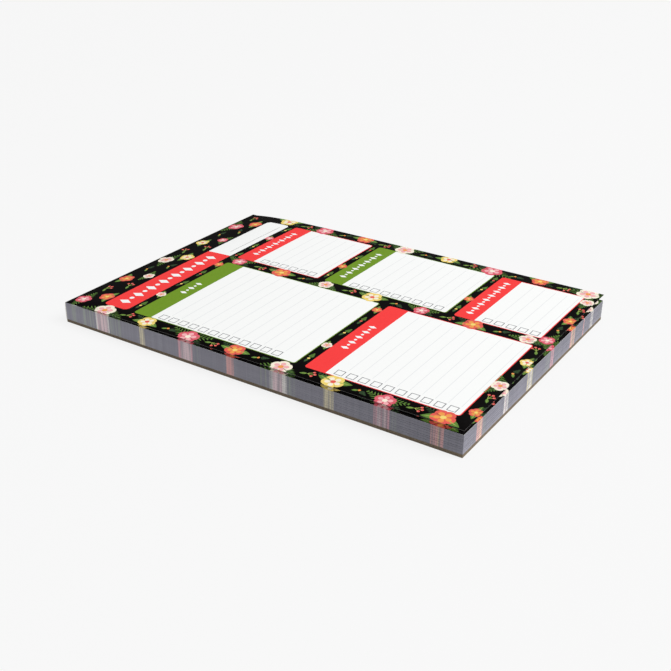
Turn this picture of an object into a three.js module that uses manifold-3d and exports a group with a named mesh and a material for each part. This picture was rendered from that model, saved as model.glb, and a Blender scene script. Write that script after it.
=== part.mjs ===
// A tear-off daily notepad: a glued pad of printed sheets on a chipboard back.
// Units are millimetres. X runs across the page from left to right, Y from its foot to its
// glued head, and Z up. The origin is under the middle of the pad, on the surface it lies on.

import * as THREE from 'three';
import { mergeVertices } from 'three/addons/utils/BufferGeometryUtils.js';
import Module from 'manifold-3d';

const wasm = await Module();
wasm.setup();

// Page and pad
const pageWidth = 158.75;
const pageLength = 228.6;
const boardThickness = 1.6;
const sheetThickness = 0.1;
const lyingSheetCount = 94;
const glueThickness = 0.6;

// Open sides of the pages that lie flat: a few sheets at a time, they draw in a little
const stepCount = 22;
const stepDraw = 0.14;

// Curl of the first sheet. It stays flat over the glued strip, rises soon after it and
// then runs on slowly to the foot. It is a little higher at the right, and crowned between.
const gluedStrip = 3;
const riseLength = 18;
const riseLeft = 1.15;
const riseRight = 2.6;
const slopeLeft = 1.0;
const slopeRight = 0.6;
const crown = 0.7;

// Layout of the print, measured from the page's edges
const sideMargin = 8.75;
const leftColumn = 75.5;
const gutter = 8.25;
const titleTop = 18.6;
const titleHeight = 15.7;
const titleRadius = 2.4;
const panelTop = 39.2;
const footMargin = 6.6;
const leftUpperHeight = 98.8;
const leftGap = 5.2;
const rightUpperHeight = 54.4;
const rightMiddleHeight = 73.2;
const rightGap = 4.2;
const barHeight = 11.35;
const outlineWidth = 0.5;
const panelRadius = 1.6;

// Printed colour is a thin film that lies just above the paper, and two colours keep a
// hairline between them
const inkThickness = 0.04;
const inkLift = 0.02;
const inkHairline = 0.04;

// Blossoms and leaves that the ground colour leaves open. Two rows of them stand over the
// title strip, and the first and last of each row stand this far in from the page's corners.
const motifMargin = 0.55;
const leafLength = 6.2;
const leafWidth = 2.5;
const headRowWidth = 9.3;
const headRowInset = 8;
const titleRowWidth = 8.2;
const titleRowInset = 16;
const leftRowStart = 25;
const leftRowEnd = 12;
const rightRowStart = 30;
const rightRowEnd = 7;
const gutterRowInset = 5;
const footRowInset = 15;

// Places that follow from the sizes above
const halfWidth = pageWidth / 2;
const pageFoot = -(pageLength + glueThickness) / 2;
const pageHead = pageFoot + pageLength;
const blockTop = boardThickness + lyingSheetCount * sheetThickness;
const sheetTop = blockTop + sheetThickness;
const rightColumn = pageWidth - 2 * sideMargin - leftColumn - gutter;
const secondStripStart = gluedStrip + 5;

const paper = new THREE.MeshStandardMaterial({ color: 0xf8f9f7, roughness: 0.62, metalness: 0 });
const paperEdge = new THREE.MeshStandardMaterial({ color: 0x85858e, roughness: 0.8, metalness: 0 });
const chipboard = new THREE.MeshStandardMaterial({ color: 0x6b5a48, roughness: 0.9, metalness: 0 });
const glue = new THREE.MeshStandardMaterial({ color: 0xe9e7df, roughness: 0.4, metalness: 0 });
const blackInk = new THREE.MeshStandardMaterial({ color: 0x0d0d0f, roughness: 0.4, metalness: 0 });
const redInk = new THREE.MeshStandardMaterial({ color: 0xf83f3f, roughness: 0.42, metalness: 0 });
const greenInk = new THREE.MeshStandardMaterial({ color: 0x6b9720, roughness: 0.42, metalness: 0 });

const notepad = new THREE.Group();

function addPiece(name, geometry, material) {
  const piece = new THREE.Mesh(geometry, material);
  piece.name = name;
  notepad.add(piece);
}

// Solids for cutting and joining
function toSolid(geometry) {
  const bare = geometry.clone();
  bare.deleteAttribute('normal');
  bare.deleteAttribute('uv');
  const merged = mergeVertices(bare, 1e-5);
  return new wasm.Manifold(new wasm.Mesh({
    numProp: 3,
    vertProperties: new Float32Array(merged.attributes.position.array),
    triVerts: new Uint32Array(merged.index.array),
  }));
}

function toGeometry(solid) {
  const mesh = solid.getMesh();
  const geometry = new THREE.BufferGeometry();
  geometry.setAttribute('position', new THREE.BufferAttribute(mesh.vertProperties, 3));
  geometry.setIndex(new THREE.BufferAttribute(mesh.triVerts, 1));
  geometry.computeVertexNormals();
  return geometry;
}

function prism(shape, bottom, top, curveSegments = 4) {
  const settings = { depth: top - bottom, bevelEnabled: false, curveSegments };
  return new THREE.ExtrudeGeometry(shape, settings).translate(0, 0, bottom);
}

function rectangle(left, right, foot, head) {
  return new THREE.Shape([
    new THREE.Vector2(left, foot),
    new THREE.Vector2(right, foot),
    new THREE.Vector2(right, head),
    new THREE.Vector2(left, head),
  ]);
}

// Outline of a printed field: left and top are measured from the page's left edge and
// down from its head. Each corner has its own radius: top left, top right, bottom right
// and bottom left.
function field(left, top, width, height, radii, Type = THREE.Shape) {
  const x0 = left - halfWidth;
  const x1 = x0 + width;
  const y1 = pageHead - top;
  const y0 = y1 - height;
  const [topLeft, topRight, bottomRight, bottomLeft] = radii;
  const outline = new Type();
  outline.moveTo(x0 + bottomLeft, y0);
  outline.lineTo(x1 - bottomRight, y0);
  if (bottomRight > 0) outline.absarc(x1 - bottomRight, y0 + bottomRight, bottomRight, -Math.PI / 2, 0);
  outline.lineTo(x1, y1 - topRight);
  if (topRight > 0) outline.absarc(x1 - topRight, y1 - topRight, topRight, 0, Math.PI / 2);
  outline.lineTo(x0 + topLeft, y1);
  if (topLeft > 0) outline.absarc(x0 + topLeft, y1 - topLeft, topLeft, Math.PI / 2, Math.PI);
  outline.lineTo(x0, y0 + bottomLeft);
  if (bottomLeft > 0) outline.absarc(x0 + bottomLeft, y0 + bottomLeft, bottomLeft, Math.PI, Math.PI * 1.5);
  return outline;
}

// Chipboard back
const boardShape = rectangle(-halfWidth, halfWidth, pageFoot, pageHead);
addPiece('back_board', prism(boardShape, 0, boardThickness), chipboard);

// Lying pages: one solid with a ledge at every few sheets. Glue holds them all in line at
// the head, and their two foot corners draw in a little, more in some places than others.
function drawOf(step) {
  return stepDraw * (0.5 + 0.5 * Math.sin(step * 2.4 + Math.sin(step * 0.9)));
}

function buildPageBlock() {
  const stepHeight = (blockTop - boardThickness) / stepCount;
  const positions = [];
  const index = [];
  const corner = (x, y, z) => positions.push(x, y, z) / 3 - 1;
  const quad = (a, b, c, d) => index.push(a, b, c, a, c, d);

  // Corners at one height: the head's left and right, then the foot's right and left, which
  // the step below and the step above each have for themselves
  const levels = [];
  for (let level = 0; level <= stepCount; level += 1) {
    const z = level === stepCount ? blockTop : boardThickness + level * stepHeight;
    const feet = [level - 1, level].map((step) => {
      const draw = drawOf(Math.min(Math.max(step, 0), stepCount - 1));
      return [
        corner(halfWidth - draw, pageFoot + draw, z),
        corner(-halfWidth + draw, pageFoot + draw, z),
      ];
    });
    levels.push({
      headLeft: corner(-halfWidth, pageHead, z),
      headRight: corner(halfWidth, pageHead, z),
      footBelow: feet[0],
      footAbove: feet[1],
    });
  }

  for (let step = 0; step < stepCount; step += 1) {
    const low = levels[step];
    const high = levels[step + 1];
    const [lowRight, lowLeft] = low.footAbove;
    const [highRight, highLeft] = high.footBelow;
    quad(low.headRight, low.headLeft, high.headLeft, high.headRight);
    quad(low.headLeft, lowLeft, highLeft, high.headLeft);
    quad(lowLeft, lowRight, highRight, highLeft);
    quad(lowRight, low.headRight, high.headRight, highRight);
    if (step === stepCount - 1) continue;
    const [nextRight, nextLeft] = high.footAbove;
    index.push(high.headLeft, highLeft, nextLeft);
    quad(highLeft, highRight, nextRight, nextLeft);
    index.push(highRight, high.headRight, nextRight);
  }
  const first = levels[0];
  const last = levels[stepCount];
  quad(first.headLeft, first.headRight, first.footAbove[0], first.footAbove[1]);
  quad(last.headLeft, last.footBelow[1], last.footBelow[0], last.headRight);

  const geometry = new THREE.BufferGeometry();
  geometry.setAttribute('position', new THREE.BufferAttribute(new Float32Array(positions), 3));
  geometry.setIndex(index);
  geometry.computeVertexNormals();
  return geometry;
}

addPiece('page_block', buildPageBlock(), paperEdge);

// Height of the first sheet above the lying pages, at a place on the page
function curlHeight(x, y) {
  const across = (x + halfWidth) / pageWidth;
  const away = Math.max(0, pageHead - gluedStrip - y);
  const run = away / (pageLength - gluedStrip);
  const rise = 1 - Math.exp(-away / riseLength);
  const left = riseLeft * rise + slopeLeft * run;
  const right = riseRight * rise + slopeRight * run;
  return left * (1 - across) + right * across + crown * rise * 4 * across * (1 - across);
}

// A layer that follows the first sheet, from one height over its underside to another.
// The rows of its mesh are closer together near the head, where it bends most.
const cellsAcross = 6;
const cellsAlong = 13;

function rowPlace(row) {
  if (row === 0) return pageHead;
  const share = ((row - 1) / (cellsAlong - 1)) ** 1.8;
  return pageHead - gluedStrip - share * (pageLength - gluedStrip);
}

function curledLayer(bottom, top) {
  const positions = [];
  const index = [];
  const columns = cellsAcross + 1;
  const rows = cellsAlong + 1;
  const perSide = columns * rows;
  for (const height of [bottom, top]) {
    for (let row = 0; row < rows; row += 1) {
      const y = row === rows - 1 ? pageFoot : rowPlace(row);
      for (let column = 0; column < columns; column += 1) {
        const x = -halfWidth + (column / cellsAcross) * pageWidth;
        positions.push(x, y, blockTop + curlHeight(x, y) + height);
      }
    }
  }
  const at = (column, row, side) => side * perSide + row * columns + column;
  const quad = (a, b, c, d) => index.push(a, b, c, a, c, d);
  for (let row = 0; row < cellsAlong; row += 1) {
    for (let column = 0; column < cellsAcross; column += 1) {
      quad(at(column, row, 0), at(column + 1, row, 0), at(column + 1, row + 1, 0), at(column, row + 1, 0));
      quad(at(column, row, 1), at(column, row + 1, 1), at(column + 1, row + 1, 1), at(column + 1, row, 1));
    }
    quad(at(0, row, 0), at(0, row + 1, 0), at(0, row + 1, 1), at(0, row, 1));
    quad(at(cellsAcross, row, 0), at(cellsAcross, row, 1),
      at(cellsAcross, row + 1, 1), at(cellsAcross, row + 1, 0));
  }
  for (let column = 0; column < cellsAcross; column += 1) {
    quad(at(column, 0, 0), at(column, 0, 1), at(column + 1, 0, 1), at(column + 1, 0, 0));
    quad(at(column, cellsAlong, 0), at(column + 1, cellsAlong, 0),
      at(column + 1, cellsAlong, 1), at(column, cellsAlong, 1));
  }
  const geometry = new THREE.BufferGeometry();
  geometry.setAttribute('position', new THREE.BufferAttribute(new Float32Array(positions), 3));
  geometry.setIndex(index);
  geometry.computeVertexNormals();
  return geometry;
}

addPiece('top_sheet', curledLayer(0, sheetThickness), paper);

// Glue film on the head, brushed on over the board and every sheet. Its outer face swells
// in the middle and runs thin at its upper and lower edges.
function buildGlue() {
  const edge = glueThickness * 0.3;
  const middle = sheetTop / 2;
  const section = new THREE.Shape();
  section.moveTo(0, 0);
  section.lineTo(edge, 0);
  section.bezierCurveTo(glueThickness, middle * 0.3, glueThickness, middle * 0.7, glueThickness, middle);
  section.bezierCurveTo(glueThickness, middle * 1.3, glueThickness, middle * 1.7, edge, sheetTop);
  section.lineTo(0, sheetTop);
  const flat = prism(section, -halfWidth, halfWidth, 6);
  const position = flat.attributes.position;
  for (let corner = 0; corner < position.count; corner += 1) {
    const out = position.getX(corner);
    const up = position.getY(corner);
    const across = position.getZ(corner);
    position.setXYZ(corner, across, pageHead + out, up);
  }
  flat.computeVertexNormals();
  return flat;
}

addPiece('glue_binding', buildGlue(), glue);

// Printed fields of the first sheet
const rightLeftEdge = sideMargin + leftColumn + gutter;
const leftLowerTop = panelTop + leftUpperHeight + leftGap;
const rightMiddleTop = panelTop + rightUpperHeight + rightGap;
const rightLowerTop = rightMiddleTop + rightMiddleHeight + rightGap;
const panelFoot = pageLength - footMargin;

const leftPanel = { left: sideMargin, width: leftColumn };
const rightPanel = { left: rightLeftEdge, width: rightColumn };
const panels = [
  { name: 'left_upper', ink: greenInk, ...leftPanel, top: panelTop, height: leftUpperHeight },
  { name: 'left_lower', ink: redInk, ...leftPanel, top: leftLowerTop, height: panelFoot - leftLowerTop },
  { name: 'right_upper', ink: redInk, ...rightPanel, top: panelTop, height: rightUpperHeight },
  { name: 'right_middle', ink: greenInk, ...rightPanel, top: rightMiddleTop, height: rightMiddleHeight },
  { name: 'right_lower', ink: redInk, ...rightPanel, top: rightLowerTop, height: panelFoot - rightLowerTop },
];

const inkLayer = toSolid(curledLayer(sheetThickness + inkLift, sheetThickness + inkLift + inkThickness));
const cutBottom = blockTop - 1;
const cutTop = sheetTop + riseRight + slopeRight + crown + 2;

function cutter(shape, curveSegments = 4) {
  return toSolid(prism(shape, cutBottom, cutTop, curveSegments));
}

// A panel is a solid bar along its head and a thin outline round its open paper
function panelShape(panel) {
  const corners = [panelRadius, panelRadius, panelRadius, panelRadius];
  const shape = field(panel.left, panel.top, panel.width, panel.height, corners);
  const innerRadius = panelRadius - outlineWidth;
  shape.holes.push(field(
    panel.left + outlineWidth, panel.top + barHeight, panel.width - 2 * outlineWidth,
    panel.height - barHeight - outlineWidth, [0, 0, innerRadius, innerRadius], THREE.Path));
  return shape;
}

// The title strip is a bar over the left column and the gutter. The rest of the strip, over
// the right column, is bare paper.
const titleShape = field(
  sideMargin, titleTop, leftColumn + gutter, titleHeight, [titleRadius, 0, 0, titleRadius]);

// Motifs. They stand along the bands of ground colour between and around the panels.
// Each band is a line down its middle, with its width and the number of motifs on it.
function blossom(x, y, radius, turn) {
  const petals = 5;
  const outline = new THREE.Shape();
  for (let petal = 0; petal < petals; petal += 1) {
    for (const [lean, reach] of [[-0.26, 0.97], [0.26, 0.97], [Math.PI / petals, 0.5]]) {
      const angle = turn + petal * (2 * Math.PI / petals) + lean;
      const px = x + radius * reach * Math.cos(angle);
      const py = y + radius * reach * Math.sin(angle);
      if (petal === 0 && lean < 0) outline.moveTo(px, py);
      else outline.lineTo(px, py);
    }
  }
  return outline;
}

function leaf(x, y, length, width, turn) {
  const outline = new THREE.Shape();
  const point = (along, aside) => [
    x + along * Math.cos(turn) - aside * Math.sin(turn),
    y + along * Math.sin(turn) + aside * Math.cos(turn),
  ];
  const half = length / 2;
  outline.moveTo(...point(-half, 0));
  outline.quadraticCurveTo(...point(0, -width), ...point(half, 0));
  outline.quadraticCurveTo(...point(0, width), ...point(-half, 0));
  return outline;
}

const headRow = motifMargin + headRowWidth / 2;
const titleRow = titleTop - motifMargin - titleRowWidth / 2;
const leftBand = sideMargin / 2;
const rightBand = pageWidth - sideMargin / 2;
const gutterBand = rightLeftEdge - gutter / 2;
const footBand = pageLength - footMargin / 2;
const bands = [
  {
    from: [headRowInset, headRow],
    to: [pageWidth - headRowInset, headRow],
    width: headRowWidth,
    count: 10,
  },
  {
    from: [titleRowInset, titleRow],
    to: [pageWidth - titleRowInset, titleRow],
    width: titleRowWidth,
    count: 9,
  },
  {
    from: [leftBand, leftRowStart],
    to: [leftBand, pageLength - leftRowEnd],
    width: sideMargin,
    count: 15,
  },
  {
    from: [rightBand, rightRowStart],
    to: [rightBand, pageLength - rightRowEnd],
    width: sideMargin,
    count: 15,
  },
  {
    from: [gutterBand, panelTop + gutterRowInset],
    to: [gutterBand, panelFoot - gutterRowInset],
    width: gutter,
    count: 13,
  },
  {
    from: [footRowInset, footBand],
    to: [pageWidth - footRowInset, footBand],
    width: footMargin,
    count: 11,
  },
];

// Narrow gaps between two fields, with a row of leaves along each
const leftEnd = sideMargin + leftColumn;
const rightEnd = pageWidth - sideMargin;
const gaps = [
  { left: sideMargin, right: rightEnd, top: titleTop + titleHeight, foot: panelTop, count: 9 },
  { left: sideMargin, right: leftEnd, top: leftLowerTop - leftGap, foot: leftLowerTop, count: 5 },
  { left: rightLeftEdge, right: rightEnd, top: rightMiddleTop - rightGap, foot: rightMiddleTop, count: 4 },
  { left: rightLeftEdge, right: rightEnd, top: rightLowerTop - rightGap, foot: rightLowerTop, count: 4 },
];

function motifShapes() {
  const shapes = [];
  bands.forEach((band, bandNumber) => {
    for (let place = 0; place < band.count; place += 1) {
      const share = place / (band.count - 1);
      const x = band.from[0] + share * (band.to[0] - band.from[0]) - halfWidth;
      const y = pageHead - band.from[1] - share * (band.to[1] - band.from[1]);
      const turn = bandNumber * 1.3 + place * 2.2;
      if (place % 2 === 0) shapes.push(blossom(x, y, band.width / 2 - motifMargin, turn));
      else shapes.push(leaf(x, y, Math.min(leafLength, band.width - 2 * motifMargin), leafWidth, turn));
    }
  });
  for (const gap of gaps) {
    const width = gap.foot - gap.top;
    for (let place = 0; place < gap.count; place += 1) {
      const x = gap.left + ((place + 0.5) / gap.count) * (gap.right - gap.left) - halfWidth;
      const y = pageHead - gap.top - width / 2;
      shapes.push(leaf(x, y, leafLength, (width - 2 * motifMargin) * 0.8, 0.25 * Math.sin(place * 2.1)));
    }
  }
  return shapes;
}

// Ground colour: the whole sheet less the title strip, the panels and the motifs
function buildGround() {
  const line = inkHairline;
  let ground = inkLayer;
  const strip = field(
    sideMargin - line, titleTop - line, pageWidth - 2 * sideMargin + 2 * line, titleHeight + 2 * line,
    [titleRadius, titleRadius, titleRadius, titleRadius]);
  ground = ground.subtract(cutter(strip));
  const radius = panelRadius + line;
  for (const panel of panels) {
    const opening = field(
      panel.left - line, panel.top - line, panel.width + 2 * line, panel.height + 2 * line,
      [radius, radius, radius, radius]);
    ground = ground.subtract(cutter(opening));
  }
  for (const shape of motifShapes()) ground = ground.subtract(cutter(shape, 3));
  return toGeometry(ground);
}

addPiece('print_ground', buildGround(), blackInk);
addPiece('print_title_bar', toGeometry(inkLayer.intersect(cutter(titleShape))), redInk);
for (const panel of panels) {
  const printed = inkLayer.intersect(cutter(panelShape(panel)));
  addPiece(`print_${panel.name}_panel`, toGeometry(printed), panel.ink);
}

// Ground colour of the next sheet, where it shows under the lifted one: a band along the
// left, foot and right edges
function secondGroundShape() {
  const head = pageHead - secondStripStart;
  const inset = stepDraw;
  return new THREE.Shape([
    new THREE.Vector2(-halfWidth + inset, head),
    new THREE.Vector2(-halfWidth + inset, pageFoot + inset),
    new THREE.Vector2(halfWidth - inset, pageFoot + inset),
    new THREE.Vector2(halfWidth - inset, head),
    new THREE.Vector2(halfWidth - sideMargin, head),
    new THREE.Vector2(halfWidth - sideMargin, pageFoot + footMargin),
    new THREE.Vector2(-halfWidth + sideMargin, pageFoot + footMargin),
    new THREE.Vector2(-halfWidth + sideMargin, head),
  ]);
}

addPiece('second_sheet_ground', prism(secondGroundShape(), blockTop, blockTop + inkThickness), blackInk);

export default notepad;
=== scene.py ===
import math
from collections import namedtuple

import bmesh
import bpy
from mathutils import Matrix, Vector


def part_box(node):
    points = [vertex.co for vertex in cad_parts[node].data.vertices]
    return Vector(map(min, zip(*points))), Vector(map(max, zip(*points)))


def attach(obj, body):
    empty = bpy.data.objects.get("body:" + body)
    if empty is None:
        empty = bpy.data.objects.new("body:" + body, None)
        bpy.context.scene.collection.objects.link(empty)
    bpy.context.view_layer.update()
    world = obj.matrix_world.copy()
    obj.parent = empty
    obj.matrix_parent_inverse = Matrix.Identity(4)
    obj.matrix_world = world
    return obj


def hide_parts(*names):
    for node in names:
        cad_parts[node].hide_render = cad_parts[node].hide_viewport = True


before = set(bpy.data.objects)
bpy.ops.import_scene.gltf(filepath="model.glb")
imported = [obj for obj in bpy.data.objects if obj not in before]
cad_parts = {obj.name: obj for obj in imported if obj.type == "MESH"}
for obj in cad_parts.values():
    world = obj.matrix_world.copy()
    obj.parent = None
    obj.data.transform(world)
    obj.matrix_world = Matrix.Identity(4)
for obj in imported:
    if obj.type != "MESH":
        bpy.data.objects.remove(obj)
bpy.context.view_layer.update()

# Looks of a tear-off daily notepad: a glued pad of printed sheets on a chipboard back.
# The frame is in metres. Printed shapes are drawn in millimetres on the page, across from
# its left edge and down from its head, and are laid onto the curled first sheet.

MM = 0.001

# Page and pad, from the frame
sheet_low, sheet_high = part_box("top_sheet")
block_low, block_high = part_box("page_block")
PAGE_WIDTH = (sheet_high.x - sheet_low.x) / MM
PAGE_LENGTH = (sheet_high.y - sheet_low.y) / MM
PAGE_LEFT = sheet_low.x
PAGE_HEAD = sheet_high.y
PAGE_RIGHT = PAGE_LEFT + PAGE_WIDTH * MM
PAGE_FOOT = PAGE_HEAD - PAGE_LENGTH * MM
BLOCK_FOOT = block_low.z
BLOCK_TOP = block_high.z
SHEET_THICKNESS = 0.1

# Curl of the first sheet, in millimetres, as the solids have it
GLUED_STRIP = 3.0
RISE_LENGTH = 18.0
RISE_LEFT = 1.15
RISE_RIGHT = 2.6
SLOPE_LEFT = 1.0
SLOPE_RIGHT = 0.6
CROWN = 0.7

# The ink of the second sheet lies this far over the block, in millimetres
SECOND_PRINT_LIFT = 0.045

# Lines along which every printed shape is cut, so that all of them bend alike. The rows lie
# closer together toward the head, where the sheet curls most.
ROWS = 60
ROW_CROWDING = 1.9
COLUMNS = 16

# Layers of the print, counted up from the sheet's face, and their pitch in millimetres
LAYER = 0.008
BASE, FIELD, LINES, LEAVES, STEMS, DOTS, CENTRES = range(1, 8)
PETALS = STEMS
INNER_PETALS = DOTS

# Layout of the print, in millimetres
OUTLINE_WIDTH = 0.5
BAR_HEIGHT = 11.35
PANEL_RADIUS = 1.6
TITLE_RADIUS = 2.4
BOX_SIZE = 4.4
BOX_LINE = 0.4
BOX_INSET = 1.1
BOX_TO_RULE = 1.2
RULE_LINE = 0.3
RULE_INSET = 3.0
ROW_PITCH = 6.3
FIRST_ROW = 3.4
DATE_INSET = 5
DATE_RISE = 4
LOZENGE_SHARE = 0.56

# Smoothness of the printed shapes
CORNER_STEPS = 6
LEAF_SIDES = 7
PETAL_SIDES = 9

# A leaf's power puts its widest place just short of its middle. A petal's values are shares
# of its reach and width.
LEAF_POWER = 0.35 + 0.35 / 0.55
PETAL_ROOT = 0.12
PETAL_ROOT_WIDTH = 0.1
PETAL_ROUND = 0.38

# The photograph's camera: focal length in pixels of the 671 pixel frame, angles in degrees,
# distance and target in millimetres, with the target measured from under the page's middle
FRAME_PIXELS = 671
FOCAL_PIXELS = 1040.4
AZIMUTH = -56.93
ELEVATION = 26.66
ROLL = 0.51
DISTANCE = 527.6
TARGET = (-14.66, -9.33, 0.0)
SENSOR = 36.0

# Light and floor, in metres and watts. Near the pad the floor takes its shadow, and far off
# it is as plain as the backdrop.
KEY_PLACE = (0.8, -2.4, 3.04)
KEY_SIZE = 2.2
KEY_WATTS = 129
WORLD_STRENGTH = 0.42
FLOOR_REACH = 6.0
SHADOW_REACH = 0.5
PLAIN_FROM = 2.0
SHADOW_SHARE = 0.88


def srgb(red, green, blue):
    """Linear colour of a colour given in 0 to 255."""
    def channel(value):
        value /= 255
        return value / 12.92 if value <= 0.04045 else ((value + 0.055) / 1.055) ** 2.4
    return (channel(red), channel(green), channel(blue), 1.0)


RED = srgb(250, 62, 62)
GREEN = srgb(112, 149, 32)
BLACK = srgb(14, 12, 12)
PAPER = srgb(250, 251, 250)
SHEET_EDGE = srgb(112, 110, 110)
RULE_GREY = srgb(230, 232, 233)
BOX_GREY = srgb(124, 126, 129)
FLOOR_GREY = srgb(247, 247, 247)
BACKDROP = srgb(248, 248, 248)

# Colours of the motifs, each with the share by which its ink varies
TINTS = {
    "pink": ((226, 96, 112), 0.10),
    "blush": ((244, 178, 182), 0.06),
    "coral": ((232, 96, 84), 0.09),
    "amber": ((240, 158, 80), 0.09),
    "yellow": ((244, 216, 118), 0.06),
    "cream": ((250, 240, 220), 0.03),
    "leaf": ((94, 132, 56), 0.14),
    "pine": ((50, 76, 46), 0.16),
    "lime": ((168, 188, 92), 0.08),
}

# Cut edges of the pages: grey from the print that runs off every sheet, with streaks of
# colour wherever motifs run off. Streaks under the least width, in millimetres, are left
# out, and a leaf's streak is weaker than a blossom's.
EDGE_GREY = (141, 140, 150)
# Up-facing ledges in the page block: a darker grey, painted shade so that they read no lighter
# than the shaded cut sides
LEDGE_PAINTED_SHADE = srgb(124, 123, 131)
STREAK_STRENGTH = 0.66
WEAK_STREAKS = {"leaf": 0.3, "pine": 0.25, "lime": 0.35}
STREAK_PALENESS = 0.52
NARROWEST_STREAK = 0.35
STREAK_WANDER = 0.0022
CUT_INSET = 0.3
RAMP_STOPS = 30


# Camera
def add_camera():
    azimuth = math.radians(AZIMUTH)
    elevation = math.radians(ELEVATION)
    back = Vector((
        math.sin(azimuth) * math.cos(elevation),
        -math.cos(azimuth) * math.cos(elevation),
        math.sin(elevation)))
    right = (-back).cross(Vector((0, 0, 1))).normalized()
    up = right.cross(-back)
    roll = math.radians(ROLL)
    rolled_right = math.cos(roll) * right + math.sin(roll) * up
    rolled_up = -math.sin(roll) * right + math.cos(roll) * up
    page_middle = Vector((0, PAGE_HEAD - PAGE_LENGTH * MM / 2, 0))
    place = page_middle + Vector(TARGET) * MM + back * DISTANCE * MM
    data = bpy.data.cameras.new("camera")
    data.lens = FOCAL_PIXELS / FRAME_PIXELS * SENSOR
    data.sensor_width = SENSOR
    data.clip_start = 0.01
    data.clip_end = 50
    camera = bpy.data.objects.new("camera", data)
    bpy.context.scene.collection.objects.link(camera)
    turn = Matrix((rolled_right, rolled_up, back)).transposed().to_4x4()
    camera.matrix_world = Matrix.Translation(place) @ turn
    bpy.context.scene.camera = camera


# Heights of the two printed faces, in metres, at a place on the page in millimetres
def first_sheet_height(across, down):
    share = across / PAGE_WIDTH
    away = max(0.0, down - GLUED_STRIP)
    run = away / (PAGE_LENGTH - GLUED_STRIP)
    rise = 1 - math.exp(-away / RISE_LENGTH)
    left = RISE_LEFT * rise + SLOPE_LEFT * run
    right = RISE_RIGHT * rise + SLOPE_RIGHT * run
    curl = left * (1 - share) + right * share + CROWN * rise * 4 * share * (1 - share)
    return BLOCK_TOP + (curl + SHEET_THICKNESS) * MM


def second_sheet_height(across, down):
    return BLOCK_TOP + SECOND_PRINT_LIFT * MM


# Pieces
def row_line(row):
    return GLUED_STRIP + (PAGE_LENGTH - GLUED_STRIP) * (row / ROWS) ** ROW_CROWDING


def column_line(column):
    return PAGE_WIDTH * column / COLUMNS


def link(name, mesh, material):
    piece = bpy.data.objects.new(name, mesh)
    bpy.context.scene.collection.objects.link(piece)
    mesh.materials.append(material)
    return piece


def cut(bm, place, normal, trim=False):
    """Cut a mesh along a plane. With trim, what lies beyond the plane goes."""
    everything = bm.verts[:] + bm.edges[:] + bm.faces[:]
    bmesh.ops.bisect_plane(
        bm, geom=everything, plane_co=place, plane_no=normal, dist=1e-6, clear_outer=trim)


def printed_piece(name, polygons, layer, material, height=first_sheet_height):
    """Flat shapes laid on a printed face. Each polygon is a list of (across, down)."""
    bm = bmesh.new()
    for polygon in polygons:
        corners = [bm.verts.new((across, -down, 0)) for across, down in polygon]
        face = bm.faces.new(corners)
        face.normal_update()
        if face.normal.z < 0:
            face.normal_flip()

    cut(bm, (0, 0, 0), (-1, 0, 0), trim=True)
    cut(bm, (PAGE_WIDTH, 0, 0), (1, 0, 0), trim=True)
    cut(bm, (0, 0, 0), (0, 1, 0), trim=True)
    cut(bm, (0, -PAGE_LENGTH, 0), (0, -1, 0), trim=True)
    for row in range(ROWS):
        cut(bm, (0, -row_line(row), 0), (0, 1, 0))
    for column in range(1, COLUMNS):
        cut(bm, (column_line(column), 0, 0), (1, 0, 0))

    for corner in bm.verts:
        across, down = corner.co.x, -corner.co.y
        corner.co = (
            PAGE_LEFT + across * MM,
            PAGE_HEAD - down * MM,
            height(across, down) + layer * LAYER * MM)
    bmesh.ops.triangulate(bm, faces=bm.faces[:])
    for face in bm.faces:
        face.smooth = True
    mesh = bpy.data.meshes.new(name)
    bm.to_mesh(mesh)
    bm.free()
    return link(name, mesh, material)


def dress(node, material):
    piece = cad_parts[node]
    piece.data.materials.clear()
    piece.data.materials.append(material)


# Outlines of printed shapes
def rounded_box(left, top, width, height, radii):
    """Radii of the corners: top left, top right, bottom right, bottom left."""
    points = []
    corners = (
        (left, top, 1, 1, 180), (left + width, top, -1, 1, 270),
        (left + width, top + height, -1, -1, 0), (left, top + height, 1, -1, 90))
    for (x, y, toward_x, toward_y, start), radius in zip(corners, radii):
        if radius <= 0:
            points.append((x, y))
            continue
        for step in range(CORNER_STEPS + 1):
            angle = math.radians(start + 90 * step / CORNER_STEPS)
            points.append((
                x + toward_x * radius + radius * math.cos(angle),
                y + toward_y * radius + radius * math.sin(angle)))
    return points


def plain_box(left, top, width, height):
    return [(left, top), (left + width, top), (left + width, top + height), (left, top + height)]


def disc(x, y, radius, sides=14):
    angles = [2 * math.pi * side / sides for side in range(sides)]
    return [(x + radius * math.cos(angle), y + radius * math.sin(angle)) for angle in angles]


def lozenge(x, y, width, height):
    return [(x - width / 2, y), (x, y - height / 2), (x + width / 2, y), (x, y + height / 2)]


def box_outline(left, top, size, line):
    """Four strips round a square."""
    return [
        plain_box(left, top, size, line),
        plain_box(left, top + size - line, size, line),
        plain_box(left, top + line, line, size - 2 * line),
        plain_box(left + size - line, top + line, line, size - 2 * line),
    ]


def turned(points, x, y, angle):
    """Points turned by the angle and moved to x, y."""
    cosine, sine = math.cos(angle), math.sin(angle)
    return [
        (x + along * cosine - aside * sine, y + along * sine + aside * cosine)
        for along, aside in points]


def leaf(x, y, angle, length, width):
    """A pointed leaf from its foot at x, y."""
    edge = []
    for side in range(1, LEAF_SIDES):
        share = side / LEAF_SIDES
        edge.append((share * length, width / 2 * math.sin(math.pi * share ** LEAF_POWER)))
    other_edge = [(along, -aside) for along, aside in reversed(edge)]
    return turned([(0.0, 0.0)] + edge + [(length, 0.0)] + other_edge, x, y, angle)


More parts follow.
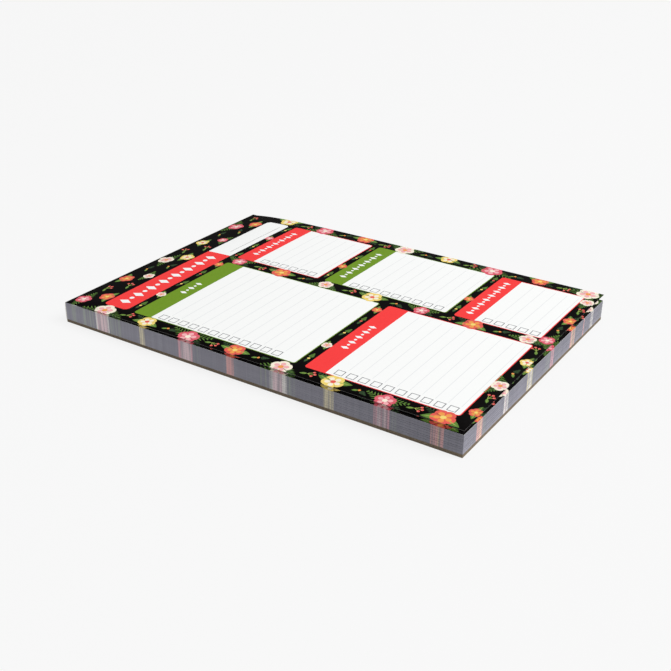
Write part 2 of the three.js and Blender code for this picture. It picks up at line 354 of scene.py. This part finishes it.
def petal(x, y, angle, reach, width):
    """A petal with a round end, narrow at the flower's middle."""
    root, root_width = reach * PETAL_ROOT, width * PETAL_ROOT_WIDTH
    outline = [(root, -root_width)]
    for side in range(PETAL_SIDES + 1):
        around = math.pi * (side / PETAL_SIDES - 0.5)
        along = reach * (1 - PETAL_ROUND + PETAL_ROUND * math.cos(around))
        outline.append((along, width / 2 * math.sin(around)))
    outline.append((root, root_width))
    return turned(outline, x, y, angle)


def stem(start, end, width):
    """A thin straight strip."""
    (x0, y0), (x1, y1) = start, end
    length = math.hypot(x1 - x0, y1 - y0)
    aside_x, aside_y = -(y1 - y0) / length * width / 2, (x1 - x0) / length * width / 2
    return [
        (x0 + aside_x, y0 + aside_y), (x1 + aside_x, y1 + aside_y),
        (x1 - aside_x, y1 - aside_y), (x0 - aside_x, y0 - aside_y)]


# Helpers for materials. A value is a number or the socket that it comes from.
def new_material(name):
    material = bpy.data.materials.new(name)
    material.use_nodes = True
    nodes = material.node_tree.nodes
    return material, nodes, material.node_tree.links, nodes["Principled BSDF"]


def feed(links, value, socket):
    if isinstance(value, (int, float)):
        socket.default_value = value
    else:
        links.new(value, socket)


def math_node(nodes, links, operation, *values):
    node = nodes.new("ShaderNodeMath")
    node.operation = operation
    for value, socket in zip(values, node.inputs):
        feed(links, value, socket)
    return node.outputs["Value"]


def beyond(nodes, links, value, limit):
    """1 where the value is over the limit, otherwise 0."""
    return math_node(nodes, links, "GREATER_THAN", value, limit)


def noise(nodes, links, scale, detail, stretch=(1, 1, 1)):
    place = nodes.new("ShaderNodeTexCoord")
    mapping = nodes.new("ShaderNodeMapping")
    mapping.inputs["Scale"].default_value = stretch
    texture = nodes.new("ShaderNodeTexNoise")
    texture.inputs["Scale"].default_value = scale
    texture.inputs["Detail"].default_value = detail
    links.new(place.outputs["Object"], mapping.inputs["Vector"])
    links.new(mapping.outputs["Vector"], texture.inputs["Vector"])
    return texture.outputs["Fac"]


def separated(nodes, links, vector):
    """The X, Y and Z of a vector."""
    parts = nodes.new("ShaderNodeSeparateXYZ")
    links.new(vector, parts.inputs["Vector"])
    return parts.outputs


def between(nodes, links, factor, low, high):
    """A colour that goes from low to high over the middle of the factor's range."""
    ramp = nodes.new("ShaderNodeValToRGB")
    ramp.color_ramp.elements[0].position = 0.3
    ramp.color_ramp.elements[0].color = low
    ramp.color_ramp.elements[1].position = 0.7
    ramp.color_ramp.elements[1].color = high
    links.new(factor, ramp.inputs["Fac"])
    return ramp.outputs["Color"]


def spread(nodes, links, value, low=0.0, high=1.0, start=0.0, end=1.0):
    """A number that goes from low to high as the value goes from start to end."""
    reach = nodes.new("ShaderNodeMapRange")
    reach.inputs["From Min"].default_value = start
    reach.inputs["From Max"].default_value = end
    reach.inputs["To Min"].default_value = low
    reach.inputs["To Max"].default_value = high
    links.new(value, reach.inputs["Value"])
    return reach.outputs["Result"]


def mixed(nodes, links, factor, first, second, blend="MIX"):
    mix = nodes.new("ShaderNodeMix")
    mix.data_type = "RGBA"
    mix.blend_type = blend
    feed(links, factor, mix.inputs["Factor"])
    links.new(first, mix.inputs["A"])
    links.new(second, mix.inputs["B"])
    return mix.outputs["Result"]


def brightened(nodes, links, color, factor, low, high):
    """The colour times a brightness that goes from low to high with the factor."""
    return mixed(nodes, links, 1.0, color, spread(nodes, links, factor, low, high), "MULTIPLY")


def plain_color(nodes, color):
    node = nodes.new("ShaderNodeRGB")
    node.outputs["Color"].default_value = color
    return node.outputs["Color"]


def bump(nodes, links, height, strength, distance):
    node = nodes.new("ShaderNodeBump")
    node.inputs["Strength"].default_value = strength
    node.inputs["Distance"].default_value = distance
    links.new(height, node.inputs["Height"])
    return node.outputs["Normal"]


def shade(color, factor):
    return tuple(min(1.0, value * factor) for value in color[:3]) + (1.0,)


# Materials
def paper_print(name, color, mottle, roughness=0.55, specular=0.12):
    """Ink on paper: a little mottled, with the paper's fibres under it."""
    material, nodes, links, surface = new_material(name)
    blotch = noise(nodes, links, scale=900, detail=4)
    links.new(
        between(nodes, links, blotch, shade(color, 1 - mottle), shade(color, 1 + mottle)),
        surface.inputs["Base Color"])
    fibre = noise(nodes, links, scale=6500, detail=5, stretch=(1, 0.45, 1))
    links.new(
        spread(nodes, links, fibre, low=roughness - 0.07, high=roughness + 0.07),
        surface.inputs["Roughness"])
    links.new(
        bump(nodes, links, fibre, strength=0.12, distance=0.00002), surface.inputs["Normal"])
    surface.inputs["Specular IOR Level"].default_value = specular
    return material


ink = {
    "paper": paper_print("paper", PAPER, mottle=0.006, roughness=0.66, specular=0.15),
    "black": paper_print("black_print", BLACK, mottle=0.12, roughness=0.66, specular=0.02),
    "red": paper_print("red_print", RED, mottle=0.03),
    "green": paper_print("green_print", GREEN, mottle=0.05),
    "sheet_edge": paper_print("sheet_edge", SHEET_EDGE, mottle=0.02, roughness=0.7, specular=0.1),
    "rule": paper_print("rule_print", RULE_GREY, mottle=0.01, roughness=0.6, specular=0.1),
    "box": paper_print("box_print", BOX_GREY, mottle=0.02, roughness=0.6, specular=0.1),
}
for tint, (tint_color, tint_mottle) in TINTS.items():
    ink[tint] = paper_print(f"{tint}_print", srgb(*tint_color), mottle=tint_mottle)


def chipboard_material():
    material, nodes, links, surface = new_material("chipboard")
    fibre = noise(nodes, links, scale=1400, detail=8, stretch=(0.4, 1, 2.2))
    speck = noise(nodes, links, scale=3200, detail=2)
    base = between(nodes, links, fibre, srgb(126, 112, 94), srgb(158, 144, 124))
    dark = between(nodes, links, speck, srgb(84, 70, 56), srgb(255, 255, 255))
    links.new(mixed(nodes, links, 0.6, base, dark, "MULTIPLY"), surface.inputs["Base Color"])
    links.new(spread(nodes, links, fibre, low=0.84, high=0.98), surface.inputs["Roughness"])
    surface.inputs["Specular IOR Level"].default_value = 0.1
    links.new(bump(nodes, links, fibre, strength=0.5, distance=0.00008), surface.inputs["Normal"])
    return material


def glue_material():
    material, nodes, links, surface = new_material("padding_glue")
    brushed = noise(nodes, links, scale=260, detail=4, stretch=(0.25, 1, 3.0))
    links.new(
        between(nodes, links, brushed, srgb(222, 219, 208), srgb(242, 240, 232)),
        surface.inputs["Base Color"])
    links.new(spread(nodes, links, brushed, low=0.28, high=0.5), surface.inputs["Roughness"])
    links.new(
        bump(nodes, links, brushed, strength=0.5, distance=0.00012), surface.inputs["Normal"])
    surface.inputs["Specular IOR Level"].default_value = 0.4
    return material


# Printed fields, from the frame
class Field:
    """A printed field's box, in millimetres on the page."""

    def __init__(self, node):
        low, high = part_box(node)
        self.left = (low.x - PAGE_LEFT) / MM
        self.top = (PAGE_HEAD - high.y) / MM
        self.width = (high.x - low.x) / MM
        self.height = (high.y - low.y) / MM
        self.right = self.left + self.width
        self.foot = self.top + self.height


# Colour, ruled rows and ornament marks of each panel
PANELS = {
    "left_upper": ("green", 12, 5),
    "left_lower": ("red", 10, 9),
    "right_upper": ("red", 6, 13),
    "right_middle": ("green", 9, 13),
    "right_lower": ("red", 5, 15),
}
title = Field("print_title_bar")
left_upper = Field("print_left_upper_panel")
left_lower = Field("print_left_lower_panel")
right_upper = Field("print_right_upper_panel")
right_middle = Field("print_right_middle_panel")
right_lower = Field("print_right_lower_panel")
SIDE_MARGIN = title.left
GUTTER = right_upper.left - left_upper.left - left_upper.width
FOOT_MARGIN = PAGE_LENGTH - left_lower.foot


# Motifs: blossoms, leaves, ferns and berries, kept as polygons by colour and layer
motifs = {}

# Colours of the blossoms: outer petals, inner petals and middle
BLOSSOMS = (
    ("pink", "blush", "cream"),
    ("coral", "amber", "yellow"),
    ("cream", "blush", "amber"),
    ("yellow", "cream", "coral"),
)
PETAL_COUNT = 5
PETAL_WIDTH = 0.98
INNER_REACH = 0.72
INNER_WIDTH = 0.46
MIDDLE_RADIUS = 0.24

# A leaf's width and its vein, as shares of the leaf's length
LEAF_WIDTH = 0.42
VEIN_LENGTH = 0.86
VEIN_WIDTH = 0.07

# A fern's leaflets, as shares of its length, angles in radians and widths in millimetres
FERN_STEM = 0.26
LEAFLET_PAIRS = 5
FIRST_LEAFLET = 0.22
LEAFLET_PITCH = 0.17
LEAFLET_REACH = 0.42
LEAFLET_TAPER = 1.15
LEAFLET_LEAN = 0.85
LEAFLET_WIDTH = 0.62

# Reach and lean of each berry's stem, with the berry's size as shares of the cluster's
BERRY_TIPS = ((0.9, -0.55), (1.0, 0.0), (0.8, 0.6))
BERRY_STEM = 0.28
BERRY_RADIUS = 0.2
GLINT_RADIUS = 0.06
GLINT_ACROSS = -0.05
GLINT_UP = 0.06


def draw(color, layer, polygon):
    motifs.setdefault((color, layer), []).append(polygon)


def draw_leaf(x, y, angle, length, color="leaf", vein="lime"):
    draw(color, LEAVES, leaf(x, y, angle, length, length * LEAF_WIDTH))
    draw(vein, STEMS, leaf(x, y, angle, length * VEIN_LENGTH, length * VEIN_WIDTH))


def draw_fern(x, y, angle, length, color="leaf"):
    """A thin stem with pairs of narrow leaflets."""
    tip = (x + length * math.cos(angle), y + length * math.sin(angle))
    draw(color, STEMS, stem((x, y), tip, FERN_STEM))
    for pair in range(LEAFLET_PAIRS):
        share = FIRST_LEAFLET + LEAFLET_PITCH * pair
        foot_x = x + share * length * math.cos(angle)
        foot_y = y + share * length * math.sin(angle)
        reach = length * LEAFLET_REACH * (LEAFLET_TAPER - share)
        for side in (-1, 1):
            lean = angle + side * LEAFLET_LEAN
            draw(color, LEAVES, leaf(foot_x, foot_y, lean, reach, LEAFLET_WIDTH))


def draw_blossom(x, y, radius, turn, kind):
    outer, inner, middle = BLOSSOMS[kind % len(BLOSSOMS)]
    for number in range(PETAL_COUNT):
        angle = turn + number * 2 * math.pi / PETAL_COUNT
        draw(outer, PETALS, petal(x, y, angle, radius, radius * PETAL_WIDTH))
        draw(inner, INNER_PETALS, petal(x, y, angle, radius * INNER_REACH, radius * INNER_WIDTH))
    draw(middle, CENTRES, disc(x, y, radius * MIDDLE_RADIUS))


def draw_berries(x, y, turn, size):
    for share, lean in BERRY_TIPS:
        tip_x = x + size * share * math.cos(turn + lean)
        tip_y = y + size * share * math.sin(turn + lean)
        draw("lime", STEMS, stem((x, y), (tip_x, tip_y), BERRY_STEM))
        draw("coral", DOTS, disc(tip_x, tip_y, size * BERRY_RADIUS, sides=10))
        glint_x, glint_y = tip_x + size * GLINT_ACROSS, tip_y - size * GLINT_UP
        draw("blush", CENTRES, disc(glint_x, glint_y, size * GLINT_RADIUS, sides=6))


# Bands of motifs round the panels. Growth is a blossom's size against the band's width, and
# outward moves every other blossom toward the page's edge. The first two are narrow rows.
Band = namedtuple("Band", "start end width places growth outward")
FIRST_WIDE_BAND = 2
HEAD_ROW = 5.2
HEAD_ROW_INSET = 8
HEAD_ROW_WIDTH = 9.3
TITLE_ROW = 13.95
TITLE_ROW_INSET = 16
TITLE_ROW_WIDTH = 8.2
LEFT_BAND_TOP = 25
LEFT_BAND_RISE = 12
RIGHT_BAND_TOP = 30
RIGHT_BAND_RISE = 7
GUTTER_INSET = 5
FOOT_BAND_INSET = 15
SIDE_SHIFT = 1.4
FOOT_SHIFT = 1.1


def level_band(down, inset, width, places, growth, outward=0):
    start, end = (inset, down), (PAGE_WIDTH - inset, down)
    return Band(start, end, width, places, growth, (0, outward))


def upright_band(across, top, foot, width, places, growth, outward=0):
    return Band((across, top), (across, foot), width, places, growth, (outward, 0))


BANDS = (
    level_band(HEAD_ROW, HEAD_ROW_INSET, HEAD_ROW_WIDTH, places=10, growth=1.06),
    level_band(TITLE_ROW, TITLE_ROW_INSET, TITLE_ROW_WIDTH, places=9, growth=1.04),
    upright_band(
        SIDE_MARGIN / 2, LEFT_BAND_TOP, PAGE_LENGTH - LEFT_BAND_RISE, SIDE_MARGIN,
        places=15, growth=1.4, outward=-SIDE_SHIFT),
    upright_band(
        PAGE_WIDTH - SIDE_MARGIN / 2, RIGHT_BAND_TOP, PAGE_LENGTH - RIGHT_BAND_RISE, SIDE_MARGIN,
        places=15, growth=1.4, outward=SIDE_SHIFT),
    upright_band(
        right_upper.left - GUTTER / 2, left_upper.top + GUTTER_INSET,
        left_lower.foot - GUTTER_INSET, GUTTER, places=13, growth=1.34),
    level_band(
        PAGE_LENGTH - FOOT_MARGIN / 2, FOOT_BAND_INSET, FOOT_MARGIN,
        places=11, growth=1.4, outward=FOOT_SHIFT),
)

# Gaps between the panels: left, right, top, foot and number of motifs
GAPS = (
    (SIDE_MARGIN, PAGE_WIDTH - SIDE_MARGIN, title.foot, left_upper.top, 9),
    (SIDE_MARGIN, SIDE_MARGIN + left_upper.width, left_upper.foot, left_lower.top, 5),
    (right_upper.left, PAGE_WIDTH - SIDE_MARGIN, right_upper.foot, right_middle.top, 4),
    (right_upper.left, PAGE_WIDTH - SIDE_MARGIN, right_middle.foot, right_lower.top, 4),
)

# How motifs vary from place to place: turns and leans in radians, sizes as shares
MOTIF_MARGIN = 0.55
SIZE_SPREAD = 0.13
SIZE_STEP = 1.7
BAND_TURN = 1.3
PLACE_TURN = 2.2
GAP_TURN = 2.1
LARGE_SWAY = 0.4
SMALL_SWAY = 0.5
GAP_SWAY = 0.25
BACK_FERN_LEAN = 0.35


def lay_large_motif(x, y, radius, along, turn, number, pair):
    """A blossom with a leaf or a fern at either side."""
    for side in (0, math.pi):
        lean = along + side + LARGE_SWAY * math.sin(turn + side)
        if (pair + number) % 2:
            draw_leaf(x, y, lean, length=radius * 1.7)
        else:
            draw_fern(x, y, lean, length=radius * 2.2)
    if number >= FIRST_WIDE_BAND:
        lean = along + math.pi * (pair % 2) + BACK_FERN_LEAN
        draw_fern(x, y, lean, length=radius * 1.9, color="pine")
    draw_blossom(x, y, radius, -turn, kind=pair + number)


def lay_berries(x, y, along, turn):
    draw_berries(x, y, along + SMALL_SWAY * math.sin(turn), size=3.6)
    draw_leaf(x, y, along + 2.8, length=3.9)


def lay_fern(x, y, along, turn):
    draw_fern(x, y, along + SMALL_SWAY * math.sin(turn), length=5.2, color="pine")
    draw_leaf(x, y, along + 2.7, length=3.6)
    draw("amber", DOTS, disc(x, y, 0.7, sides=10))


def lay_band(number, band):
    """Blossoms at every other place, with berries and ferns by turns between them."""
    (start_x, start_y), (end_x, end_y) = band.start, band.end
    along = math.atan2(end_y - start_y, end_x - start_x)
    for place in range(band.places):
        share = place / (band.places - 1)
        x = start_x + share * (end_x - start_x)
        y = start_y + share * (end_y - start_y)
        turn = number * BAND_TURN + place * PLACE_TURN
        radius = (band.width / 2 - MOTIF_MARGIN) * band.growth
        radius *= 1 + SIZE_SPREAD * math.sin(place * SIZE_STEP + number)
        if place % 4 == 0:
            x += band.outward[0]
            y += band.outward[1]
        if place % 2 == 0:
            lay_large_motif(x, y, radius, along, turn, number, place // 2)
        elif place % 4 == 1:
            lay_berries(x, y, along, turn)
        else:
            lay_fern(x, y, along, turn)


def lay_gap(left, right, top, foot, places):
    """A small blossom at every third place, with leaves and ferns between them."""
    middle = (top + foot) / 2
    for place in range(places):
        x = left + (place + 0.5) / places * (right - left)
        lean = GAP_SWAY * math.sin(place * GAP_TURN)
        if place % 3 == 1:
            draw_leaf(x, middle, math.pi - lean, length=4.6)
            draw_leaf(x, middle, -lean, length=4.6)
            draw_blossom(x, middle, 2.7, lean, kind=place + places)
        else:
            draw_leaf(x, middle, math.pi - lean, length=4.0, color="pine", vein="leaf")
            draw_fern(x, middle, -lean, length=5.2)
            draw("coral" if place % 2 else "yellow", DOTS, disc(x, middle, 0.75, sides=10))


for band_number, motif_band in enumerate(BANDS):
    lay_band(band_number, motif_band)
for motif_gap in GAPS:
    lay_gap(*motif_gap)


def add_motifs():
    for (color, layer), polygons in sorted(motifs.items()):
        piece = printed_piece(f"motif_{color}_{layer}", polygons, layer, ink[color])
        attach(piece, "root")


# Second sheet: its printed margin shows under the lifted one, from a little below the head
SECOND_MOTIFS_FROM = 12


def shows_in_margin(polygon):
    across = [x for x, y in polygon]
    down = [y for x, y in polygon]
    in_margin = (
        min(across) < SIDE_MARGIN or max(across) > PAGE_WIDTH - SIDE_MARGIN
        or max(down) > left_lower.foot)
    return in_margin and min(down) > SECOND_MOTIFS_FROM


def add_second_sheet():
    for (color, layer), polygons in sorted(motifs.items()):
        edge_shapes = [polygon for polygon in polygons if shows_in_margin(polygon)]
        if not edge_shapes:
            continue
        piece = printed_piece(
            f"second_{color}_{layer}", edge_shapes, layer, ink[color], second_sheet_height)
        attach(piece, "root")


# First sheet: a thin curled solid, printed black on its face and bare beneath
FACE, EDGE, UNDERSIDE = range(3)


def sheet_corners(bm, rows, lift):
    """A grid of corners over the page, lifted from the sheet's underside, in metres."""
    grid = []
    for down in rows:
        line = []
        for column in range(COLUMNS + 1):
            across = column_line(column)
            height = first_sheet_height(across, down) - SHEET_THICKNESS * MM + lift
            line.append(bm.verts.new((PAGE_LEFT + across * MM, PAGE_HEAD - down * MM, height)))
        grid.append(line)
    return grid


def add_first_sheet():
    bm = bmesh.new()
    rows = [0.0] + [row_line(row) for row in range(ROWS + 1)]
    last = len(rows) - 1
    under = sheet_corners(bm, rows, 0.0)
    face = sheet_corners(bm, rows, SHEET_THICKNESS * MM)
    for row in range(last):
        for column in range(COLUMNS):
            top = bm.faces.new((
                face[row][column], face[row + 1][column],
                face[row + 1][column + 1], face[row][column + 1]))
            top.material_index = FACE
            top.smooth = True
            below = bm.faces.new((
                under[row][column], under[row][column + 1],
                under[row + 1][column + 1], under[row + 1][column]))
            below.material_index = UNDERSIDE
            below.smooth = True
    for row in range(last):
        for column, order in ((0, 1), (COLUMNS, -1)):
            corners = [
                under[row][column], under[row + 1][column],
                face[row + 1][column], face[row][column]]
            bm.faces.new(corners[::order]).material_index = EDGE
    for column in range(COLUMNS):
        for row, order in ((0, -1), (last, 1)):
            corners = [
                under[row][column], under[row][column + 1],
                face[row][column + 1], face[row][column]]
            bm.faces.new(corners[::order]).material_index = EDGE
    mesh = bpy.data.meshes.new("first_sheet")
    bm.to_mesh(mesh)
    bm.free()
    sheet = link("first_sheet", mesh, ink["black"])
    mesh.materials.append(ink["sheet_edge"])
    mesh.materials.append(ink["paper"])
    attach(sheet, "root")
    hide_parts("top_sheet", "print_ground")


def add_ornament(name, x, y, count, pitch, size, dot):
    """A row of lozenges with dots between them, in bare paper colour."""
    shapes = []
    for place in range(count):
        mark_x = x + (place - (count - 1) / 2) * pitch
        if place % 2 == 0:
            shapes.append(lozenge(mark_x, y, size * LOZENGE_SHARE, size))
        else:
            shapes.append(disc(mark_x, y, dot))
    piece = printed_piece(name, shapes, LINES, ink["paper"])
    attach(piece, "root")


# Title strip: a coloured bar, bare paper beside it
def add_title():
    strip_width = right_upper.right - title.left
    strip = rounded_box(title.left, title.top, strip_width, title.height, [TITLE_RADIUS] * 4)
    paper_strip = printed_piece("title_strip_paper", [strip], BASE, ink["paper"])
    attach(paper_strip, "root")

    radii = [TITLE_RADIUS, 0, 0, TITLE_RADIUS]
    bar = printed_piece(
        "title_bar", [rounded_box(title.left, title.top, title.width, title.height, radii)],
        FIELD, ink["red"])
    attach(bar, "root")
    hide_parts("print_title_bar")
    add_ornament(
        "title_ornament", title.left + title.width / 2, title.top + title.height / 2,
        count=15, pitch=4.9, size=7.6, dot=1.3)

    date_width = right_upper.width - 2 * DATE_INSET
    date_box = plain_box(title.right + DATE_INSET, title.foot - DATE_RISE, date_width, RULE_LINE)
    date_line = printed_piece("date_line", [date_box], LINES, ink["box"])
    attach(date_line, "root")


# Panels: coloured bar and outline, bare paper, ruled lines and tick boxes
def add_panel(name, color, rows, marks):
    field = Field(f"print_{name}_panel")
    outline = rounded_box(field.left, field.top, field.width, field.height, [PANEL_RADIUS] * 4)
    frame_piece = printed_piece(f"{name}_frame", [outline], BASE, ink[color])
    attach(frame_piece, "root")
    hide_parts(f"print_{name}_panel")

    inner_left = field.left + OUTLINE_WIDTH
    inner_top = field.top + BAR_HEIGHT
    inner_width = field.width - 2 * OUTLINE_WIDTH
    inner_height = field.height - BAR_HEIGHT - OUTLINE_WIDTH
    inner_radius = PANEL_RADIUS - OUTLINE_WIDTH
    inner = rounded_box(
        inner_left, inner_top, inner_width, inner_height, [0, 0, inner_radius, inner_radius])
    paper_piece = printed_piece(f"{name}_paper", [inner], FIELD, ink["paper"])
    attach(paper_piece, "root")

    boxes = []
    lines = []
    box_left = inner_left + BOX_INSET
    line_left = box_left + BOX_SIZE + BOX_TO_RULE
    line_width = field.left + field.width - OUTLINE_WIDTH - RULE_INSET - line_left
    for row in range(rows):
        box_top = inner_top + FIRST_ROW + row * ROW_PITCH
        boxes += box_outline(box_left, box_top, BOX_SIZE, BOX_LINE)
        lines.append(plain_box(line_left, box_top + BOX_SIZE, line_width, RULE_LINE))
    for kind, shapes in (("box", boxes), ("rule", lines)):
        piece = printed_piece(f"{name}_{kind}s", shapes, LINES, ink[kind])
        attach(piece, "root")
    add_ornament(
        f"{name}_ornament", field.left + field.width / 2, field.top + BAR_HEIGHT / 2,
        count=marks, pitch=3.1, size=4.6, dot=0.8)


# Streaks of colour on the cut edges, where motifs run off the page. A cut line lies at one
# place across the page or down it. A face looks a way if that part of its normal is over the
# limit.
ACROSS, DOWN = 0, 1
FACING = 0.5


def crossing(polygon, axis, value):
    """The stretch of a cut line that a polygon covers, or None."""
    places = []
    for first, second in zip(polygon, polygon[1:] + polygon[:1]):
        before, after = first[axis] - value, second[axis] - value
        if (before < 0) != (after < 0):
            share = before / (before - after)
            places.append(first[1 - axis] + share * (second[1 - axis] - first[1 - axis]))
    return (min(places), max(places)) if places else None


def streaks(axis, value, length):
    """Changes of colour along one cut edge, as a list of (place, colour name)."""
    covers = []
    for (color, layer), polygons in motifs.items():
        for polygon in polygons:
            stretch = crossing(polygon, axis, value)
            if stretch:
                covers.append((layer, stretch[0], stretch[1], color))
    places = sorted({0.0, length} | {place for cover in covers for place in cover[1:3]})
    changes = [(0.0, None)]
    for start, end in zip(places, places[1:]):
        if end - start < NARROWEST_STREAK:
            continue
        middle = (start + end) / 2
        over = [(layer, color) for layer, low, high, color in covers if low < middle < high]
        color = max(over)[1] if over else None
        if color != changes[-1][1]:
            changes.append((start, color))
    return changes


def edge_color(color):
    if color is None:
        return srgb(*EDGE_GREY)
    strength = WEAK_STREAKS.get(color, STREAK_STRENGTH)
    tint = [value + STREAK_PALENESS * (255 - value) for value in TINTS[color][0]]
    return srgb(*(base + strength * (value - base) for base, value in zip(EDGE_GREY, tint)))


def streak_colors(nodes, links, coordinate, changes, length, strength):
    """Colour along one edge. The coordinate runs from 0 to 1 along it."""
    plain = plain_color(nodes, edge_color(None))
    color = None
    for first in range(0, len(changes), RAMP_STOPS):
        chunk = changes[first:first + RAMP_STOPS]
        ramp = nodes.new("ShaderNodeValToRGB")
        stops = ramp.color_ramp
        stops.interpolation = "CONSTANT"
        stops.elements[1].position = 1.0
        stops.elements[1].color = edge_color(chunk[-1][1])
        stops.elements[0].position = 0.0
        stops.elements[0].color = edge_color(chunk[0][1])
        for place, name in chunk[1:]:
            stops.elements.new(place / length).color = edge_color(name)
        links.new(coordinate, ramp.inputs["Fac"])
        if color is None:
            color = ramp.outputs["Color"]
        else:
            from_here = beyond(nodes, links, coordinate, chunk[0][0] / length)
            color = mixed(nodes, links, from_here, color, ramp.outputs["Color"])
    return mixed(nodes, links, strength, plain, color)


def streaked_sides(nodes, links, place, normal, sheets, cuts):
    """Streaks on the three open sides, with painted shade from head to foot on the left and right
    and painted light on the foot side. Each sheet's lie a little beside the next one's.
    """
    down = spread(nodes, links, place["Y"], start=PAGE_HEAD, end=PAGE_FOOT)
    across = spread(nodes, links, place["X"], start=PAGE_LEFT, end=PAGE_RIGHT)
    strength = spread(nodes, links, cuts, low=-0.9, high=2.5)

    def side(coordinate, axis, value, length):
        uneven = math_node(nodes, links, "MULTIPLY_ADD", sheets, STREAK_WANDER, coordinate)
        return streak_colors(nodes, links, uneven, streaks(axis, value, length), length, strength)

    left = side(down, ACROSS, CUT_INSET, PAGE_LENGTH)
    right = side(down, ACROSS, PAGE_WIDTH - CUT_INSET, PAGE_LENGTH)
    foot = side(across, DOWN, PAGE_LENGTH - CUT_INSET, PAGE_WIDTH)
    sides = mixed(nodes, links, beyond(nodes, links, normal["X"], FACING), left, right)
    # Painted shade: the left and right sides are painted lighter at the head and darker toward the
    # foot
    sides = brightened(nodes, links, sides, down, low=1.2, high=0.84)
    # Painted light: the foot side is painted lighter, a little more at its left end
    foot = brightened(nodes, links, foot, across, low=1.1, high=1.06)
    toward_foot = math_node(nodes, links, "MULTIPLY", normal["Y"], -1)
    return mixed(nodes, links, beyond(nodes, links, toward_foot, FACING), sides, foot)


def page_edge_material():
    material, nodes, links, surface = new_material("page_edges")
    place = separated(nodes, links, nodes.new("ShaderNodeTexCoord").outputs["Object"])
    normal = separated(nodes, links, nodes.new("ShaderNodeNewGeometry").outputs["True Normal"])
    sheets = noise(nodes, links, scale=60, detail=3, stretch=(1, 1, 170))
    cuts = noise(nodes, links, scale=1000, detail=5, stretch=(1, 1, 0.02))

    cut_sides = streaked_sides(nodes, links, place, normal, sheets, cuts)
    cut_sides = brightened(nodes, links, cut_sides, sheets, low=0.9, high=1.1)
    cut_sides = brightened(nodes, links, cut_sides, cuts, low=0.8, high=1.2)
    # Painted light and shade: the cut sides are painted lighter toward the base, as if lit from
    # the floor, and darker toward the top
    height = spread(nodes, links, place["Z"], start=BLOCK_FOOT, end=BLOCK_TOP)
    cut_sides = brightened(nodes, links, cut_sides, height, low=1.12, high=0.9)

    # Level faces: thin ledges between the sheets, given a darker grey as painted shade, and the
    # next sheet's bare paper on top
    on_top = beyond(nodes, links, place["Z"], BLOCK_TOP - SHEET_THICKNESS * MM)
    level = mixed(nodes, links, on_top, plain_color(nodes, LEDGE_PAINTED_SHADE), plain_color(nodes, PAPER))
    faces_up = beyond(nodes, links, normal["Z"], FACING)

    links.new(mixed(nodes, links, faces_up, cut_sides, level), surface.inputs["Base Color"])
    links.new(spread(nodes, links, sheets, low=0.66, high=0.84), surface.inputs["Roughness"])
    surface.inputs["Specular IOR Level"].default_value = 0.1
    links.new(bump(nodes, links, sheets, strength=0.4, distance=0.00005), surface.inputs["Normal"])
    return material


# Floor: plain backdrop colour to the camera and to mirror rays, mixed with a shaded surface
# near the pad, which takes its shadow
def floor_material():
    material, nodes, links, surface = new_material("floor")
    surface.inputs["Base Color"].default_value = FLOOR_GREY
    surface.inputs["Roughness"].default_value = 0.9
    surface.inputs["Specular IOR Level"].default_value = 0.0
    glow = nodes.new("ShaderNodeEmission")
    glow.inputs["Color"].default_value = BACKDROP
    rays = nodes.new("ShaderNodeLightPath").outputs
    seen = math_node(nodes, links, "MAXIMUM", rays["Is Camera Ray"], rays["Is Glossy Ray"])
    seen = math_node(nodes, links, "MAXIMUM", seen, rays["Is Transmission Ray"])
    away = nodes.new("ShaderNodeVectorMath")
    away.operation = "LENGTH"
    links.new(nodes.new("ShaderNodeTexCoord").outputs["Object"], away.inputs[0])
    plain = spread(
        nodes, links, away.outputs["Value"], low=SHADOW_SHARE, high=1.0,
        start=SHADOW_REACH, end=PLAIN_FROM)
    blend = nodes.new("ShaderNodeMixShader")
    links.new(math_node(nodes, links, "MULTIPLY", seen, plain), blend.inputs["Fac"])
    links.new(surface.outputs["BSDF"], blend.inputs[1])
    links.new(glow.outputs["Emission"], blend.inputs[2])
    links.new(blend.outputs["Shader"], nodes["Material Output"].inputs["Surface"])
    return material


def add_floor():
    mesh = bpy.data.meshes.new("floor")
    reach = FLOOR_REACH
    corners = [(-reach, -reach, 0), (reach, -reach, 0), (reach, reach, 0), (-reach, reach, 0)]
    mesh.from_pydata(corners, [], [(0, 1, 2, 3)])
    floor = link("floor", mesh, floor_material())


def add_world():
    world = bpy.data.worlds.new("studio")
    bpy.context.scene.world = world
    world.use_nodes = True
    nodes = world.node_tree.nodes
    links = world.node_tree.links
    background = nodes["Background"]
    background.inputs["Color"].default_value = (1, 1, 1, 1)
    background.inputs["Strength"].default_value = WORLD_STRENGTH
    backdrop = nodes.new("ShaderNodeBackground")
    backdrop.inputs["Color"].default_value = BACKDROP
    rays = nodes.new("ShaderNodeLightPath")
    either = nodes.new("ShaderNodeMixShader")
    links.new(rays.outputs["Is Camera Ray"], either.inputs["Fac"])
    links.new(background.outputs["Background"], either.inputs[1])
    links.new(backdrop.outputs["Background"], either.inputs[2])
    links.new(either.outputs["Shader"], nodes["World Output"].inputs["Surface"])


def add_key_light():
    data = bpy.data.lights.new("key", "AREA")
    data.shape = "SQUARE"
    data.size = KEY_SIZE
    data.energy = KEY_WATTS
    lamp = bpy.data.objects.new("key", data)
    lamp.location = KEY_PLACE
    lamp.rotation_euler = (-Vector(KEY_PLACE)).to_track_quat("-Z", "Y").to_euler()
    bpy.context.scene.collection.objects.link(lamp)


add_camera()
add_first_sheet()
add_title()
for panel_name, (panel_color, panel_rows, panel_marks) in PANELS.items():
    add_panel(panel_name, panel_color, panel_rows, panel_marks)
add_motifs()
add_second_sheet()
dress("page_block", page_edge_material())
dress("back_board", chipboard_material())
dress("glue_binding", glue_material())
dress("second_sheet_ground", ink["black"])
add_floor()
add_world()
add_key_light()
bpy.context.scene.view_settings.view_transform = "Standard"
